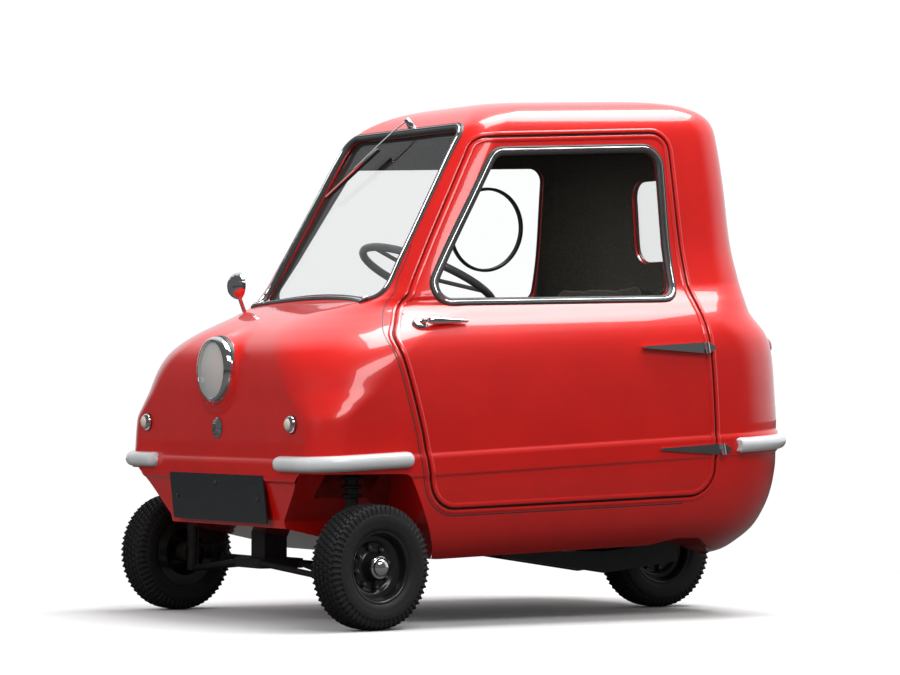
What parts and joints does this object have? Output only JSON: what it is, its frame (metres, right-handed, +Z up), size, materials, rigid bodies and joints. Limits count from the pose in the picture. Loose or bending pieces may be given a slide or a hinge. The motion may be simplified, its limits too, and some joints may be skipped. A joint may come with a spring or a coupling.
{
  "type": "three wheeled car",
  "caption": "Very small closed car on wheels: rounded moulded body with a side door, steered front wheels under the prow and a driven wheel under the tail.",
  "frame": {"origin": "on the ground, at the middle of the car's length and width", "axes": "+X to the car's left, +Y to the rear, +Z up; the car's front faces -Y"},
  "size_m": [1.0408, 1.3812, 1.222],
  "materials": {
    "red_paint": "gloss",
    "clear_glass": "gloss",
    "chrome_trim": "polished",
    "lens_glass": "gloss",
    "side_lens": "gloss",
    "tail_lens": "gloss",
    "white_bumper": "gloss",
    "plate_face": "gloss",
    "black_steel": "satin",
    "bright_steel": "satin",
    "tyre_rubber": "matte",
    "engine_metal": "satin",
    "seat_cloth": "matte",
    "trim_board": "matte",
    "wheel_rim_plastic": "gloss"
  },
  "bodies": {
    "chassis": {"lower_tub": "red_paint", "upper_shell": "red_paint", "windscreen": "clear_glass", "rear_window": "clear_glass", "right_window": "clear_glass", "headlamp_bezel": "chrome_trim", "headlamp_lens": "lens_glass", "lock_disc": "chrome_trim", "side_lamps": "side_lens", "tail_lamps": "tail_lens", "front_bumperettes": "white_bumper", "rear_bumperettes": "white_bumper", "front_plate": "plate_face", "rear_plate": "plate_face", "hinge_bases": "chrome_trim", "wing_mirror": "chrome_trim", "wiper": "chrome_trim", "front_legs": "black_steel", "front_springs": "black_steel", "front_crossmember": "black_steel", "wishbones": "black_steel", "swing_arm": "black_steel", "pivot_bracket": "black_steel", "engine": "engine_metal", "seat_box": "trim_board", "seat_cushion": "seat_cloth", "seat_back": "seat_cloth", "steering_column": "black_steel"},
    "door": {"door": "red_paint", "door_glass": "clear_glass", "door_handle": "chrome_trim", "door_hinges": "chrome_trim"},
    "left_knuckle": {"left_knuckle": "black_steel"},
    "right_knuckle": {"right_knuckle": "black_steel"},
    "track_rod": {"track_rod": "bright_steel"},
    "left_wheel": {"left_tyre": "tyre_rubber", "left_rim": "black_steel", "left_hub_cap": "chrome_trim"},
    "right_wheel": {"right_tyre": "tyre_rubber", "right_rim": "black_steel", "right_hub_cap": "chrome_trim"},
    "rear_wheel": {"rear_tyre": "tyre_rubber", "rear_rim": "black_steel"},
    "steering_wheel": {"steering_wheel": "wheel_rim_plastic"}
  },
  "joints": [
    {"name": "door_swing", "type": "hinge", "parent": "chassis", "child": "door", "pos_m": [0.492, 0.396, 0.394], "axis": [0, -0.1881, 0.9822], "range_deg": [0, 78]},
    {"name": "steer_left", "type": "hinge", "parent": "chassis", "child": "left_knuckle", "pos_m": [0.39032, -0.534, 0.1393], "axis": [0, 0, 1], "range_deg": [-37, 19]},
    {"name": "steer_right", "type": "hinge", "parent": "chassis", "child": "right_knuckle", "pos_m": [-0.39032, -0.534, 0.1393], "axis": [0, 0, 1], "range_deg": [-37, 19]},
    {"name": "rod_turn", "type": "hinge", "parent": "left_knuckle", "child": "track_rod", "pos_m": [0.37609, -0.44311, 0.15], "axis": [0, 0, 1], "range_deg": [-19, 37]},
    {"name": "steering_turn", "type": "hinge", "parent": "chassis", "child": "steering_wheel", "pos_m": [0, -0.112, 0.795], "axis": [0, 0.4226, 0.9063], "range_deg": [-150, 80]},
    {"name": "left_spin", "type": "hinge", "parent": "left_knuckle", "child": "left_wheel", "pos_m": [0.4575, -0.52348, 0.1393], "axis": [0.988, 0.1547, 0], "continuous": true},
    {"name": "right_spin", "type": "hinge", "parent": "right_knuckle", "child": "right_wheel", "pos_m": [-0.4575, -0.54452, 0.1393], "axis": [0.988, 0.1547, 0], "continuous": true},
    {"name": "rear_spin", "type": "hinge", "parent": "chassis", "child": "rear_wheel", "pos_m": [0, 0.534, 0.1393], "axis": [1, 0, 0], "continuous": true}
  ],
  "couplings": [
    {"joint": "steer_right", "follows": "steer_left", "ratio": 1},
    {"joint": "rod_turn", "follows": "steer_left", "ratio": -1},
    {"joint": "steering_turn", "follows": "steer_left", "ratio": 4}
  ]
}
